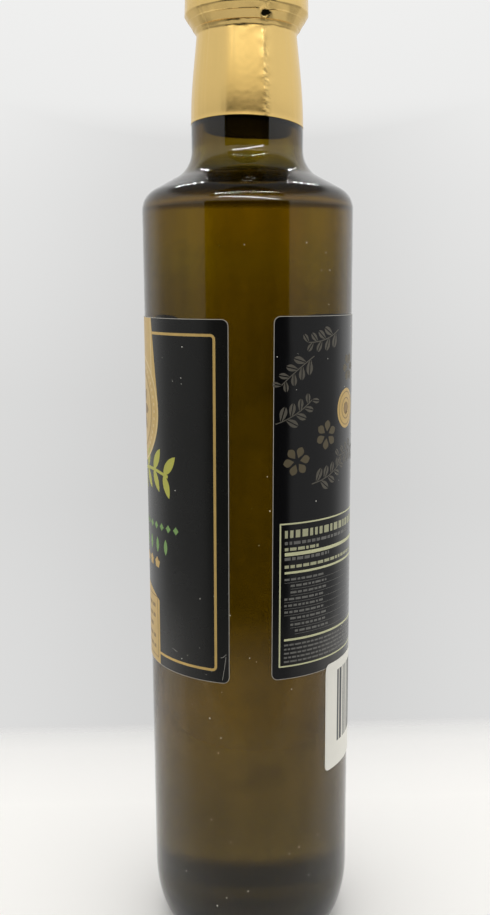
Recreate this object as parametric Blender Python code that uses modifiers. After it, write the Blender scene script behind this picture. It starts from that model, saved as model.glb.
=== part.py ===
"""A tall round bottle of olive oil: dark glass, the oil in it, a gold capsule over cap and neck,
a front label, a back label and a small stock sticker. Metres, +Z up, base centre at the origin.
The front label faces -Y, so the gap between the two labels faces +X."""

import math

import bmesh
import bpy
from mathutils import Matrix, Vector

MM = 0.001
SEGMENTS = 48
GAP = 0.3 * MM

# Bottle, outside
BODY_R = 29.75 * MM
BOTTLE_H = 288.7 * MM
HEEL_H = 18.7 * MM
HEEL_DEPTH = 7.1 * MM
BEARING_WIDTH = 2.6 * MM
PUNT_H = 4.0 * MM
PUNT_STEPS = ((1.0, 0.0), (0.86, 0.45), (0.5, 0.86), (0.0, 1.0))
SHOULDER_Z = 215.2 * MM
SHOULDER_R = 6.4 * MM
SHOULDER_SLOPE = math.radians(28.4)
NECK_ROOT_R = 8.4 * MM
NECK_R = 15.62 * MM
THROAT_R = 13.8 * MM
THROAT_Z = 261.7 * MM
FLARE_END_Z = 240.0 * MM
CAPSULE_SEAT_Z = 237.0 * MM
LIP_R = 1.1 * MM

# Bottle, inside
WALL = 2.4 * MM
NECK_WALL = 3.0 * MM
NECK_BORE_Z = (233.5 * MM, 242.0 * MM)
NECK_BLEND = 1.2 * MM
BORE_R = 10.0 * MM
FLOOR_Z = 9.0 * MM
FLOOR_CROWN_R = 10.0 * MM
FLOOR_CROWN = 0.8 * MM
FLOOR_RIM_Z = 6.6 * MM
INNER_HEEL_R = 8.0 * MM
INNER_HEEL_START = -82
OIL_LEVEL = 222.3 * MM

# Capsule over the cap
CAPSULE_H = 290.5 * MM
FOIL = 0.3 * MM
FOIL_GAP = 0.27 * MM
RIM_R = 17.0 * MM
RIM_Z = 267.0 * MM
CAP_TOP_R = 16.3 * MM
CAP_EDGE_R = 1.5 * MM
RIM_BEVEL = (0.2 * MM, 0.7 * MM)
NIP_BEVEL = ((0.4 * MM, 0.95 * MM), (0.05 * MM, 0.35 * MM))
SKIRT_SPARE = 4 * MM
FOIL_EDGE_Z = 238.7 * MM
FOIL_EDGE_SLOPE = Vector((0.052, -0.068))

# Labels
PAPER = 0.25 * MM
LABEL_ARC = math.radians(153.6)
LABEL_CORNER_R = 1.8 * MM
FRONT_LABEL_Z = (86.1 * MM, 186.0 * MM)
BACK_LABEL_Z = (86.5 * MM, 186.2 * MM)
FRONT_ANGLE = math.radians(-89.5)
BACK_ANGLE = math.radians(86.8)
FRONT_LEAN = math.radians(0.3)
BACK_LEAN = math.radians(0.45)
STICKER_WIDTH = 50.8 * MM
STICKER_Z = (55.1 * MM, 87.7 * MM)
STICKER_CORNER_R = 1.6 * MM
STICKER_EDGE_ANGLE = math.radians(44.0)
STICKER_STEP = 0.5 * MM
COLUMN_ARC = math.radians(6.4)


def clear_scene():
    for obj in list(bpy.data.objects):
        bpy.data.objects.remove(obj, do_unlink=True)


def new_collection(name):
    collection = bpy.data.collections.new(name)
    bpy.context.scene.collection.children.link(collection)
    return collection


def new_material(name, colour, roughness, metallic=0.0, transmission=0.0, ior=1.5):
    material = bpy.data.materials.new(name)
    material.use_nodes = True
    shader = material.node_tree.nodes["Principled BSDF"]
    shader.inputs["Base Color"].default_value = (*colour, 1.0)
    shader.inputs["Roughness"].default_value = roughness
    shader.inputs["Metallic"].default_value = metallic
    shader.inputs["Transmission Weight"].default_value = transmission
    shader.inputs["IOR"].default_value = ior
    material.diffuse_color = (*colour, 1.0)
    return material


def add_object(name, mesh, material, collection):
    obj = bpy.data.objects.new(name, mesh)
    mesh.materials.append(material)
    collection.objects.link(obj)
    return obj


def settle(obj, sharp_angle=math.radians(35)):
    """Makes the modifiers' result the object's own mesh, shaded smooth but for its sharp edges."""
    graph = bpy.context.evaluated_depsgraph_get()
    mesh = bpy.data.meshes.new_from_object(obj.evaluated_get(graph))
    obj.modifiers.clear()
    obj.data = mesh
    mesh.name = obj.name
    mesh.shade_smooth()
    mesh.set_sharp_from_angle(angle=sharp_angle)
    return obj


def arc(centre, radii, start_deg, end_deg, steps):
    """Points of an arc, or of an ellipse's where the two radii differ, in (radius, height)."""
    points = []
    for step in range(steps + 1):
        angle = math.radians(start_deg + (end_deg - start_deg) * step / steps)
        points.append((centre[0] + radii[0] * math.cos(angle), centre[1] + radii[1] * math.sin(angle)))
    return points


def turned(name, profile, material, collection):
    """A solid turned about +Z. The profile starts and ends on the axis and runs down its outer side."""
    mesh = bpy.data.meshes.new(name)
    edges = [(i, i + 1) for i in range(len(profile) - 1)]
    mesh.from_pydata([(r, 0.0, z) for r, z in profile], edges, [])
    obj = add_object(name, mesh, material, collection)
    screw = obj.modifiers.new("Turn", "SCREW")
    screw.angle = math.tau
    screw.steps = SEGMENTS
    screw.render_steps = SEGMENTS
    screw.use_merge_vertices = True
    screw.merge_threshold = 0.00001
    screw.use_normal_calculate = False
    return obj


def flare_radius(z):
    """The capsule's outer radius on the neck: narrow under the cap, easing out to the full neck."""
    t = (THROAT_Z - z) / (THROAT_Z - FLARE_END_Z)
    t = min(max(t, 0.0), 1.0)
    start_slope = 1.2
    end_slope = 0.1
    ease = start_slope * (t**3 - 2 * t**2 + t) + (3 * t**2 - 2 * t**3) + end_slope * (t**3 - t**2)
    return THROAT_R + (NECK_R - THROAT_R) * ease


def flare(offset, lowest_z, steps=6):
    """(radius, height) points down the neck, the given distance inside the capsule's outer skin."""
    points = []
    for step in range(steps + 1):
        z = THROAT_Z + (FLARE_END_Z - THROAT_Z) * step / steps
        points.append((flare_radius(z) - offset, z))
    points.append((NECK_R - offset, lowest_z))
    return points


def shoulder_line(offset):
    """From the neck's foot down to the body: a hollow arc, a straight slope and a round arc."""
    turn = math.degrees(math.pi / 2 - SHOULDER_SLOPE)
    body_centre = (BODY_R - SHOULDER_R, SHOULDER_Z)
    round_arc = arc(body_centre, (SHOULDER_R - offset,) * 2, turn, 0, 5)
    root_r = NECK_ROOT_R + offset
    neck_centre_r = NECK_R + NECK_ROOT_R
    slope_end = body_centre[1] + SHOULDER_R * math.sin(math.radians(turn))
    slope_end_r = body_centre[0] + SHOULDER_R * math.cos(math.radians(turn))
    slope_start_r = neck_centre_r - NECK_ROOT_R * math.cos(math.radians(turn))
    slope_start = slope_end + (slope_end_r - slope_start_r) * math.tan(SHOULDER_SLOPE)
    neck_centre_z = slope_start + NECK_ROOT_R * math.sin(math.radians(turn))
    hollow_arc = arc((neck_centre_r, neck_centre_z), (root_r,) * 2, 180, 180 + turn, 5)
    return hollow_arc + round_arc


def bottle_inside(offset=0.0):
    """The hollow's wall from its floor's centre up to the neck, moved inwards by the offset."""
    heel_centre = (BODY_R - WALL - INNER_HEEL_R, FLOOR_RIM_Z + INNER_HEEL_R)
    heel_r = INNER_HEEL_R - offset
    floor = [(0.0, FLOOR_Z + offset), (FLOOR_CROWN_R, FLOOR_Z - FLOOR_CROWN + offset)]
    heel = arc(heel_centre, (heel_r, heel_r), INNER_HEEL_START, 0, 5)
    shoulder = reversed(shoulder_line(WALL + offset))
    return floor + heel + [p for p in shoulder if p[0] > NECK_R - NECK_WALL + NECK_BLEND]


def make_bottle(collection):
    """Blown glass, open at the mouth. A low seat in the neck takes the capsule's skirt."""
    material = new_material("dark_olive_glass", (0.16, 0.13, 0.03), 0.05, transmission=0.9, ior=1.52)
    finish_r = THROAT_R - FOIL - FOIL_GAP
    neck_bore = [(NECK_R - NECK_WALL, z) for z in NECK_BORE_Z]
    neck_bore += [(BORE_R, THROAT_Z), (BORE_R, BOTTLE_H - LIP_R)]
    lip = arc((BORE_R + LIP_R, BOTTLE_H - LIP_R), (LIP_R, LIP_R), 180, 90, 3)[1:]
    lip += arc((finish_r - LIP_R, BOTTLE_H - LIP_R), (LIP_R, LIP_R), 90, 0, 3)
    neck = flare(FOIL + FOIL_GAP, CAPSULE_SEAT_Z) + [(NECK_R, CAPSULE_SEAT_Z)]
    base_r = BODY_R - HEEL_DEPTH
    heel = arc((base_r, HEEL_H), (HEEL_DEPTH, HEEL_H), 0, -90, 8)
    punt = [((base_r - BEARING_WIDTH) * across, PUNT_H * up) for across, up in PUNT_STEPS]
    profile = bottle_inside() + neck_bore + lip + neck + shoulder_line(0.0) + heel + punt
    return settle(turned("bottle_glass", profile, material, collection))


def radius_at(line, height):
    """The radius at which a rising line of (radius, height) points passes a height."""
    for (low_r, low_z), (high_r, high_z) in zip(line, line[1:]):
        if low_z < height <= high_z:
            return low_r + (high_r - low_r) * (height - low_z) / (high_z - low_z)
    return line[-1][0]


def make_oil(collection):
    """The oil, from the bottle's floor up to a flat surface in the shoulder."""
    material = new_material("olive_oil", (0.35, 0.25, 0.02), 0.0, transmission=1.0, ior=1.47)
    wall = bottle_inside(GAP)
    side = [p for p in wall if p[1] < OIL_LEVEL]
    profile = [(0.0, OIL_LEVEL), (radius_at(wall, OIL_LEVEL), OIL_LEVEL)] + side[::-1]
    return settle(turned("olive_oil", profile, material, collection))


def foil_trimmer(cutters):
    """A block whose top is the slanting line on which the capsule was cut."""
    mesh = bpy.data.meshes.new("foil_trimmer")
    block = bmesh.new()
    bmesh.ops.create_cube(block, size=1.0)
    width, height = 4 * BODY_R, 20 * MM
    for vert in block.verts:
        x, y = vert.co.x * width, vert.co.y * width
        top = FOIL_EDGE_Z + FOIL_EDGE_SLOPE.x * x + FOIL_EDGE_SLOPE.y * y
        vert.co = Vector((x, y, top if vert.co.z > 0 else top - height))
    block.to_mesh(mesh)
    block.free()
    cutter = bpy.data.objects.new("foil_trimmer", mesh)
    cutters.objects.link(cutter)
    cutter.hide_render = True
    cutter.display_type = "WIRE"
    return cutter


def make_capsule(collection, cutters):
    """Gold foil drawn over the screw cap, nipped in below it and trimmed on a slant on the neck."""
    material = new_material("gold_foil", (0.62, 0.45, 0.16), 0.25, metallic=1.0)
    edge_centre = (CAP_TOP_R - CAP_EDGE_R, CAPSULE_H - CAP_EDGE_R)
    cap = [(0.0, CAPSULE_H)] + arc(edge_centre, (CAP_EDGE_R, CAP_EDGE_R), 90, 0, 3)
    rim = [(RIM_R, RIM_Z), (RIM_R - RIM_BEVEL[0], RIM_Z - RIM_BEVEL[1])]
    nip = [(THROAT_R + out, THROAT_Z + up) for out, up in NIP_BEVEL]
    skirt_end = FOIL_EDGE_Z - SKIRT_SPARE
    outside = cap + rim + nip + flare(0.0, skirt_end)
    inside = list(reversed(flare(FOIL, skirt_end)))
    inside_top = BOTTLE_H + GAP
    inside += [(THROAT_R - FOIL, inside_top), (0.0, inside_top)]
    capsule = turned("gold_capsule", outside + inside, material, collection)
    trim = capsule.modifiers.new("Trim", "BOOLEAN")
    trim.operation = "DIFFERENCE"
    trim.object = foil_trimmer(cutters)
    return settle(capsule)


def wrapped_sheet(name, material, angle, arc_width, heights, corner_r, inner_r, lean=0.0, bends=()):
    """A paper sheet with rounded corners, wrapped on the body with a slight clockwise lean. Its inner
    face is at inner_r(height)."""
    columns = round(arc_width / COLUMN_ARC)
    width = arc_width * BODY_R
    height = heights[1] - heights[0]
    sheet = bmesh.new()
    bmesh.ops.create_grid(sheet, x_segments=columns, y_segments=1, size=0.5)
    for vert in sheet.verts:
        vert.co = Vector((vert.co.x * width, (vert.co.y + 0.5) * height, 0.0))
    for bend in bends:
        geometry = sheet.verts[:] + sheet.edges[:] + sheet.faces[:]
        place = Vector((0, bend - heights[0], 0))
        bmesh.ops.bisect_plane(sheet, geom=geometry, plane_co=place, plane_no=Vector((0, 1, 0)))
    corners = [v for v in sheet.verts if len(v.link_edges) == 2 and len(v.link_faces) == 1]
    bmesh.ops.bevel(sheet, geom=corners, offset=corner_r, segments=4, profile=0.5, affect="VERTICES")
    middle = Vector((0.0, height / 2, 0.0))
    bmesh.ops.rotate(sheet, verts=sheet.verts[:], cent=middle, matrix=Matrix.Rotation(-lean, 3, "Z"))
    for vert in sheet.verts:
        turn = angle + vert.co.x / BODY_R
        z = heights[0] + vert.co.y
        radius = inner_r(z)
        vert.co = Vector((radius * math.cos(turn), radius * math.sin(turn), z))
    mesh = bpy.data.meshes.new(name)
    sheet.to_mesh(mesh)
    sheet.free()
    obj = bpy.data.objects.new(name, mesh)
    mesh.materials.append(material)
    solidify = obj.modifiers.new("Paper", "SOLIDIFY")
    solidify.thickness = PAPER
    solidify.offset = 1.0
    return obj


def make_labels(collection):
    """Two black paper labels, each wrapped round nearly half of the body, stuck on slightly askew."""
    black = new_material("black_label_paper", (0.02, 0.021, 0.02), 0.45)
    blue_black = new_material("blue_black_label_paper", (0.016, 0.016, 0.02), 0.4)

    def on_glass(_height):
        return BODY_R + GAP

    for name, material, angle, heights, lean in (
        ("front_label", black, FRONT_ANGLE, FRONT_LABEL_Z, FRONT_LEAN),
        ("back_label", blue_black, BACK_ANGLE, BACK_LABEL_Z, BACK_LEAN),
    ):
        label = wrapped_sheet(name, material, angle, LABEL_ARC, heights, LABEL_CORNER_R, on_glass, lean)
        collection.objects.link(label)
        settle(label)


def make_sticker(collection):
    """A white stock sticker on the glass, its top edge lapped over the back label's lower edge."""
    white = new_material("white_sticker_paper", (0.72, 0.71, 0.62), 0.5)
    label_drop = math.sin(BACK_LEAN) * BODY_R * LABEL_ARC / 2
    lap_end = BACK_LABEL_Z[0] - label_drop - GAP
    lap_start = lap_end - STICKER_STEP

    def over_label_edge(height):
        share = min(max((height - lap_start) / (lap_end - lap_start), 0.0), 1.0)
        return BODY_R + GAP + share * (PAPER + GAP)

    arc_width = STICKER_WIDTH / BODY_R
    angle = STICKER_EDGE_ANGLE + arc_width / 2
    bends = (lap_start, lap_end)
    sticker = wrapped_sheet(
        "stock_sticker", white, angle, arc_width, STICKER_Z, STICKER_CORNER_R, over_label_edge, bends=bends
    )
    collection.objects.link(sticker)
    settle(sticker)


clear_scene()
bottle = new_collection("olive_oil_bottle")
cutters = new_collection("cutters")
make_bottle(bottle)
make_oil(bottle)
make_capsule(bottle, cutters)
make_labels(bottle)
make_sticker(bottle)
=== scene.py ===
import math
import random

import bmesh
import bpy
from mathutils import Matrix, Vector, noise


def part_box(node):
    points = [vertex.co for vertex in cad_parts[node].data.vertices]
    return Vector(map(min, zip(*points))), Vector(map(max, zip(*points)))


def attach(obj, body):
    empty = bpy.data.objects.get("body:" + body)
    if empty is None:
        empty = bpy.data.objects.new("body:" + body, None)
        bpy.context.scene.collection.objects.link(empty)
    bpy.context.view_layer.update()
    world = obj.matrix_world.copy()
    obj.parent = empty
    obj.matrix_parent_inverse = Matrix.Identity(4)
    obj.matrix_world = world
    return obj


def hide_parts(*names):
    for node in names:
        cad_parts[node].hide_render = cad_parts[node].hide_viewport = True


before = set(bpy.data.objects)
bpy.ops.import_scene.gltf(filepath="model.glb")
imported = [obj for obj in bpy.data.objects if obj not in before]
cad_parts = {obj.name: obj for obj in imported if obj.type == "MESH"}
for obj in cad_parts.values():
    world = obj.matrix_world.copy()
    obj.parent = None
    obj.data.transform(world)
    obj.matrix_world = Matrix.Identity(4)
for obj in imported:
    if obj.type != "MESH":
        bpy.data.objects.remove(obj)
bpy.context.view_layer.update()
MM = 0.001

# The camera stands at the strip of bare glass between the two labels, a little above the shoulder's
# height, and is tipped down at the body.
CAMERA_AZIMUTH = math.radians(-2.0)
CAMERA_DISTANCE = 287.74 * MM
CAMERA_ASIDE = -1.148 * MM
CAMERA_HEIGHT = 193.97 * MM
CAMERA_TIP = math.radians(-9.783)
CAMERA_ROLL = math.radians(-0.34)
CAMERA_LENS = 38.86


def add_object(name, data):
    made = bpy.data.objects.new(name, data)
    bpy.context.scene.collection.objects.link(made)
    return made


toward_camera = Vector((math.cos(CAMERA_AZIMUTH), math.sin(CAMERA_AZIMUTH), 0.0))
camera_right = Vector((-math.sin(CAMERA_AZIMUTH), math.cos(CAMERA_AZIMUTH), 0.0))
camera = add_object("camera", bpy.data.cameras.new("camera"))
camera.data.lens = CAMERA_LENS
camera.data.clip_start = 5 * MM
camera_turn = Matrix.Rotation(CAMERA_AZIMUTH + math.pi / 2, 4, "Z")
camera_tip = Matrix.Rotation(CAMERA_TIP + math.pi / 2, 4, "X")
camera_roll = Matrix.Rotation(CAMERA_ROLL, 4, "Z")
camera_place = CAMERA_DISTANCE * toward_camera + CAMERA_ASIDE * camera_right
camera_place.z = CAMERA_HEIGHT
camera.matrix_world = Matrix.Translation(camera_place) @ camera_turn @ camera_tip @ camera_roll
bpy.context.scene.camera = camera

# The room is a white light tent: pale walls, a dark opening in front, where the camera looks in, a
# strip lamp above that opening, a dim roof, and behind the bottle two brighter panels that show only
# through its glass. It is only light, so it has no mesh.
WALL_STOPS = ((-40, 0.72), (-24, 0.72), (-18, 0.71), (-12, 0.69), (-6, 0.705), (-1, 0.745),
              (5, 0.785), (10, 0.84), (15, 0.865), (40, 0.95), (90, 1.0))
WALL_TINT = (1.0, 1.0, 0.992)
OPENING_SIDES = (math.radians(-48.5), math.radians(42.5))
OPENING_HEIGHTS = (math.radians(-19.5), math.radians(14.5))
OPENING_EDGE = math.radians(1.2)
OPENING_LIGHT = 0.012
FRONT_WALL_LIGHT = (0.97, 0.925, 0.80)
STRIP_SIDE = math.radians(32)
STRIP_HEIGHTS = (math.radians(29.5), math.radians(34))
STRIP_LIGHT = (2.4, 2.25, 1.85)
LOW_WALL_HEIGHTS = (math.radians(-24), math.radians(-30))
FRONT_ROOF_LIGHT = 0.03
ROOF_START = (math.radians(34), math.radians(45))
ROOF_LIGHT = 0.25
MIDDLE_SHADE = 0.885
MIDDLE_OFFSET = 0.035
MIDDLE_REACH = (0.05, 0.26)
MIDDLE_TOP = (-0.01, 0.18)
SIDE_WALL_SHADE = 0.50
SIDE_WALL_HEIGHTS = (math.radians(4.5), math.radians(9.5))
SIDE_WALL_ENDS = (math.radians(100), math.radians(128))
RIGHT_GAIN = 0.05
PANEL_STARTS = (math.radians(116), math.radians(130))
PANEL_ENDS = (math.radians(172), math.radians(158))
PANEL_BOTTOM = (math.radians(-7), math.radians(-2))
PANEL_TOP = (math.radians(18), math.radians(12))
PANEL_TINT = (0.94, 1.08, 1.0)
PANEL_GAIN = 0.48
PANEL_TURN = -0.36


def add_node(tree, kind, sockets=None, **settings):
    """Adds a shader node. Each socket is given by name or number and takes a value or an output."""
    made = tree.nodes.new("ShaderNode" + kind)
    for name, value in settings.items():
        setattr(made, name, value)
    for name, value in (sockets or {}).items():
        if isinstance(value, bpy.types.NodeSocket):
            tree.links.new(value, made.inputs[name])
        else:
            made.inputs[name].default_value = value
    return made


def compute(tree, operation, first, second=0.0, third=0.0):
    return add_node(tree, "Math", {0: first, 1: second, 2: third}, operation=operation).outputs[0]


def ease(tree, value, start, end):
    """0 before start, 1 after end, smooth between them. Start may be the larger."""
    sockets = {"Value": value, "From Min": start, "From Max": end}
    return add_node(tree, "MapRange", sockets, interpolation_type="SMOOTHSTEP").outputs[0]


def ramp(tree, value, stops):
    """A colour ramp through stops of (position from 0 to 1, colour)."""
    made = add_node(tree, "ValToRGB", {0: value})
    elements = made.color_ramp.elements
    elements.remove(elements[1])
    elements[0].position = stops[0][0]
    elements[0].color = (*stops[0][1], 1.0)
    for position, colour in stops[1:]:
        elements.new(position).color = (*colour, 1.0)
    return made.outputs[0]


def mix_colours(tree, share, first, second, blend="MIX"):
    sockets = {0: share, 6: first, 7: second}
    return add_node(tree, "Mix", sockets, data_type="RGBA", blend_type=blend).outputs[2]


def combine(tree, operation, first, second):
    """Vector maths, which serves for colours too."""
    return add_node(tree, "VectorMath", {0: first, 1: second}, operation=operation).outputs[0]


def between(tree, value, low, high, edge):
    """1 between low and high and 0 outside them, with a soft edge at each end."""
    return compute(tree, "MULTIPLY", ease(tree, value, low - edge, low + edge),
                   ease(tree, value, high + edge, high - edge))


def grey(level):
    return level, level, level, 1.0


def side_walls(tree, wall, through_glass, rightward, turned, elevation):
    """The walls at the sides are dimmer low down. Through the glass, the two panels show before them."""
    lit = ease(tree, turned, *SIDE_WALL_ENDS)
    for heights in (SIDE_WALL_HEIGHTS, LOW_WALL_HEIGHTS):
        lit = compute(tree, "MAXIMUM", lit, ease(tree, elevation, *heights))
    light = compute(tree, "MULTIPLY_ADD", lit, 1 - SIDE_WALL_SHADE, SIDE_WALL_SHADE)
    light = compute(tree, "MULTIPLY", light, compute(tree, "MULTIPLY_ADD", rightward, RIGHT_GAIN, 1.0))
    in_panel = through_glass
    for value, limits in ((turned, PANEL_STARTS), (turned, PANEL_ENDS),
                          (elevation, PANEL_BOTTOM), (elevation, PANEL_TOP)):
        in_panel = compute(tree, "MULTIPLY", in_panel, ease(tree, value, *limits))
    gain = compute(tree, "MULTIPLY_ADD", rightward, PANEL_TURN, PANEL_GAIN)
    light = compute(tree, "MULTIPLY", light, compute(tree, "MULTIPLY_ADD", in_panel, gain, 1.0))
    tint = mix_colours(tree, in_panel, grey(1.0), (*PANEL_TINT, 1.0))
    return combine(tree, "MULTIPLY", combine(tree, "MULTIPLY", wall, light), tint)


def front_wall(tree, turned, elevation):
    """Above the opening: a pale wall, the strip lamp and a dark stretch of roof."""
    edge = OPENING_EDGE
    low, high = STRIP_HEIGHTS
    in_strip = compute(tree, "MULTIPLY", between(tree, elevation, low, high, edge / 2),
                       ease(tree, turned, STRIP_SIDE + edge, STRIP_SIDE - edge))
    front = mix_colours(tree, in_strip, (*FRONT_WALL_LIGHT, 1.0), (*STRIP_LIGHT, 1.0))
    over_strip = ease(tree, elevation, high - edge / 2, high + edge / 2)
    return mix_colours(tree, over_strip, front, grey(FRONT_ROOF_LIGHT))


def backdrop(tree, wall, rightward, elevation):
    """What shows behind the bottle: the graded wall, slightly dimmer in the middle and low down."""
    aside = compute(tree, "ABSOLUTE", compute(tree, "SUBTRACT", rightward, MIDDLE_OFFSET))
    shade = compute(tree, "MULTIPLY_ADD", ease(tree, aside, *MIDDLE_REACH), 1 - MIDDLE_SHADE, MIDDLE_SHADE)
    shade = compute(tree, "MAXIMUM", shade, ease(tree, elevation, *MIDDLE_TOP))
    return mix_colours(tree, 1.0, wall, shade, "MULTIPLY")


def light_tent():
    world = bpy.data.worlds.new("light_tent")
    bpy.context.scene.world = world
    world.use_nodes = True
    tree = world.node_tree
    ray = add_node(tree, "LightPath").outputs
    split = add_node(tree, "SeparateXYZ", {0: add_node(tree, "TexCoord").outputs["Generated"]})
    forward, rightward, upward = split.outputs
    azimuth = compute(tree, "ARCTAN2", rightward, forward)
    turned = compute(tree, "ABSOLUTE", azimuth)
    elevation = compute(tree, "ARCSINE", upward)
    height = compute(tree, "DIVIDE", compute(tree, "ADD", elevation, math.pi / 2), math.pi)
    stops = [((degrees + 90) / 180, [light * tint for tint in WALL_TINT]) for degrees, light in WALL_STOPS]
    wall = ramp(tree, height, stops)
    edge = OPENING_EDGE
    low, high = OPENING_HEIGHTS
    across = between(tree, azimuth, *OPENING_SIDES, edge)
    under_top = ease(tree, elevation, high + edge, high - edge)
    over_bottom = ease(tree, elevation, low - 3 * edge, low + edge)
    opening = compute(tree, "MULTIPLY", across, compute(tree, "MULTIPLY", over_bottom, under_top))
    over_opening = compute(tree, "MULTIPLY", across, compute(tree, "SUBTRACT", 1.0, under_top))
    sides = side_walls(tree, wall, ray["Is Transmission Ray"], rightward, turned, elevation)
    room = mix_colours(tree, ease(tree, elevation, *ROOF_START), sides, grey(ROOF_LIGHT))
    room = mix_colours(tree, over_opening, room, front_wall(tree, turned, elevation))
    room = mix_colours(tree, opening, room, grey(OPENING_LIGHT))
    soft_room = mix_colours(tree, opening, wall, grey(OPENING_LIGHT))
    lit_room = mix_colours(tree, ray["Is Diffuse Ray"], room, soft_room)
    seen = backdrop(tree, wall, rightward, elevation)
    shown = mix_colours(tree, ray["Is Camera Ray"], lit_room, seen)
    tree.links.new(shown, tree.nodes["Background"].inputs["Color"])


light_tent()
bpy.context.scene.view_settings.view_transform = "Standard"

# Two rows of small bright lamps hang in the tent's roof, one in front of the bottle and one behind
# it, and a broad soft light fills in from above. A slanting tube in front lights the bottle alone.
LAMP_COUNT = 19
LAMP_SPACING = 14.2 * MM
LAMP_RADIUS = 2.4 * MM
LAMP_POWER = 0.056
LAMP_ROWS = ((150 * MM, 400 * MM), (-150 * MM, 400 * MM))
FILL_HEIGHT = 1.1
FILL_SIZE = 0.9
FILL_POWER = 3.4
TUBE_DISTANCE = 300 * MM
TUBE_ELEVATION = math.radians(25.5)
TUBE_SIZE = (360 * MM, 22 * MM)
TUBE_SLANT = math.radians(-13.5)
TUBE_POWER = 0.40
TUBE_AIM = Vector((16 * MM, 0.0, 231 * MM))


def hang_light(name, kind, place, power, **settings):
    lamp = add_object(name, bpy.data.lights.new(name, kind))
    lamp.data.energy = power
    for setting, value in settings.items():
        setattr(lamp.data, setting, value)
    lamp.location = place
    lamp.visible_camera = False
    return lamp


for row, (lamp_x, lamp_z) in enumerate(LAMP_ROWS):
    for number in range(LAMP_COUNT):
        lamp_y = (number - (LAMP_COUNT - 1) / 2) * LAMP_SPACING
        name = f"lamp_{row}_{number}"
        bulb = hang_light(name, "POINT", (lamp_x, lamp_y, lamp_z), LAMP_POWER, shadow_soft_size=LAMP_RADIUS)
        bulb.visible_diffuse = False
fill = hang_light("fill_light", "AREA", (0.0, 0.0, FILL_HEIGHT), FILL_POWER, size=FILL_SIZE)
fill.visible_glossy = False
fill.visible_transmission = False
tube = hang_light("front_tube", "AREA", (0.0, 0.0, 0.0), TUBE_POWER, shape="RECTANGLE")
tube.data.size, tube.data.size_y = TUBE_SIZE
tube.visible_diffuse = False
tube.visible_transmission = False
tube_place = Vector((math.cos(TUBE_ELEVATION), 0.0, math.sin(TUBE_ELEVATION))) * TUBE_DISTANCE
tube_turn = Matrix.Rotation(math.pi / 2, 4, "Z") @ Matrix.Rotation(math.pi / 2 - TUBE_ELEVATION, 4, "X")
tube_roll = Matrix.Rotation(TUBE_SLANT, 4, "Z")
tube.matrix_world = Matrix.Translation(tube_place + TUBE_AIM) @ tube_turn @ tube_roll

# The table top is a pale sheet. Behind the bottle it fades into the tent's back wall, where the
# photo's sweep turns up, and in front its colour is painted darker towards the opening: painted shade.
TABLE_X = (-134 * MM, 190 * MM)
TABLE_HALF_WIDTH = 300 * MM
TABLE_FADE = ((0.0, 0.0), (0.030, 0.32), (0.074, 0.60), (0.142, 0.81), (0.216, 1.0), (0.88, 1.0), (1.0, 0.0))
# Painted shade: how much darker the table's colour is painted, from its back edge to its front edge.
TABLE_PAINTED_SHADE = ((0.0, 1.0), (0.42, 1.0), (0.47, 1.0), (0.52, 0.92), (0.60, 0.70), (0.80, 0.58), (1.0, 0.50))
TABLE_COLOUR = (0.90, 0.885, 0.86)


def turn_profile(name, profile, sides, shape=None):
    """A closed mesh turned about +Z from (radius, height) points that start and end on the axis.
    A shape function may move each point, from its radius, angle and height."""
    mesh = bpy.data.meshes.new(name)
    points, rings, faces = [], [], []
    for radius, height in profile:
        count = sides if radius > 0.001 * MM else 1
        rings.append(range(len(points), len(points) + count))
        for step in range(count):
            angle = math.tau * step / sides
            at_radius, at_height = shape(radius, angle, height) if shape and count > 1 else (radius, height)
            points.append((at_radius * math.cos(angle), at_radius * math.sin(angle), at_height))
    for upper, lower in zip(rings, rings[1:]):
        for step in range(sides):
            after = (step + 1) % sides
            corners = [upper[step % len(upper)], lower[step % len(lower)],
                       lower[after % len(lower)], upper[after % len(upper)]]
            faces.append(list(dict.fromkeys(corners)))
    mesh.from_pydata(points, [], faces)
    work = bmesh.new()
    work.from_mesh(mesh)
    bmesh.ops.recalc_face_normals(work, faces=work.faces[:])
    work.to_mesh(mesh)
    work.free()
    mesh.shade_smooth()
    mesh.set_sharp_from_angle(angle=math.radians(32))
    return add_object(name, mesh)


def new_material(name, **values):
    """A material on the Principled shader, with the values that are the same all over set on it."""
    material = bpy.data.materials.new(name)
    material.use_nodes = True
    shader = material.node_tree.nodes["Principled BSDF"]
    for socket, value in values.items():
        place = shader.inputs[socket.replace("_", " ")]
        place.default_value = (*value, 1.0) if isinstance(value, tuple) and len(value) == 3 else value
    return material, material.node_tree, shader


def shaded(colour, factor):
    """The colour made darker or lighter, with full cover."""
    return (*[min(1.0, factor * part) for part in colour], 1.0)


def object_point(tree, stretch=(1.0, 1.0, 1.0)):
    """The place on the piece, in metres, stretched along each axis."""
    place = add_node(tree, "TexCoord").outputs["Object"]
    return add_node(tree, "Mapping", {"Vector": place, "Scale": stretch}).outputs[0]


def speckle(tree, point, scale, detail=4.0, roughness=0.6, **settings):
    sockets = {"Vector": point, "Scale": scale, "Detail": detail, "Roughness": roughness}
    return add_node(tree, "TexNoise", sockets, **settings).outputs[0]


def roughen(tree, shader, height, distance, strength=1.0):
    bump = add_node(tree, "Bump", {"Height": height, "Distance": distance, "Strength": strength})
    tree.links.new(bump.outputs[0], shader.inputs["Normal"])
    return bump


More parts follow.
